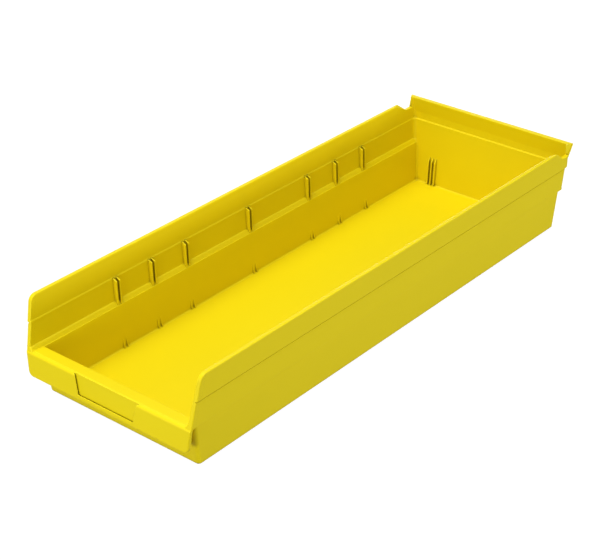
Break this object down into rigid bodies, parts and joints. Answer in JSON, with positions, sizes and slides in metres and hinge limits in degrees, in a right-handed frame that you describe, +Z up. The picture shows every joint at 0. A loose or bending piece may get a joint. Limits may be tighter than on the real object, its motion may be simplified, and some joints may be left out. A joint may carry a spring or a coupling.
{
  "type": "stackable shelf storage bin",
  "caption": "Long open-fronted storage bin with stepped side walls, divider slots, a front ledge with a label pocket and a raised rear hang flange.",
  "frame": {"origin": "centre of the bounding box in plan, on the flat underside that the bin stands on", "axes": "+Z up, -Y towards the open front with the label panel, +Y towards the rear wall, +X to the right when facing the rear"},
  "size_m": [0.2126, 0.6, 0.1016],
  "materials": {
    "bin_body": "fine moulded semi-matt polypropylene, yellow"
  },
  "bodies": {
    "root": {"floor_panel": "bin_body", "front_inner_wall": "bin_body", "front_ledge": "bin_body", "label_panel": "bin_body", "rear_lower_wall": "bin_body", "rear_ledge": "bin_body", "rear_middle_wall": "bin_body", "rear_upper_wall": "bin_body", "hang_flange": "bin_body", "left_lower_wall": "bin_body", "left_side_ledge": "bin_body", "left_divider_band": "bin_body", "left_slot_1_front_fin": "bin_body", "left_slot_1_rear_fin": "bin_body", "left_slot_2_front_fin": "bin_body", "left_slot_2_rear_fin": "bin_body", "left_slot_3_front_fin": "bin_body", "left_slot_3_rear_fin": "bin_body", "left_slot_4_front_fin": "bin_body", "left_slot_4_rear_fin": "bin_body", "left_slot_5_front_fin": "bin_body", "left_slot_5_rear_fin": "bin_body", "left_slot_6_front_fin": "bin_body", "left_slot_6_rear_fin": "bin_body", "left_slot_7_front_fin": "bin_body", "left_slot_7_rear_fin": "bin_body", "left_rim_band": "bin_body", "left_flange_gusset": "bin_body", "left_front_web": "bin_body", "right_lower_wall": "bin_body", "right_side_ledge": "bin_body", "right_divider_band": "bin_body", "right_slot_1_front_fin": "bin_body", "right_slot_1_rear_fin": "bin_body", "right_slot_2_front_fin": "bin_body", "right_slot_2_rear_fin": "bin_body", "right_slot_3_front_fin": "bin_body", "right_slot_3_rear_fin": "bin_body", "right_slot_4_front_fin": "bin_body", "right_slot_4_rear_fin": "bin_body", "right_slot_5_front_fin": "bin_body", "right_slot_5_rear_fin": "bin_body", "right_slot_6_front_fin": "bin_body", "right_slot_6_rear_fin": "bin_body", "right_slot_7_front_fin": "bin_body", "right_slot_7_rear_fin": "bin_body", "right_rim_band": "bin_body", "right_flange_gusset": "bin_body", "right_front_web": "bin_body"}
  },
  "joints": []
}
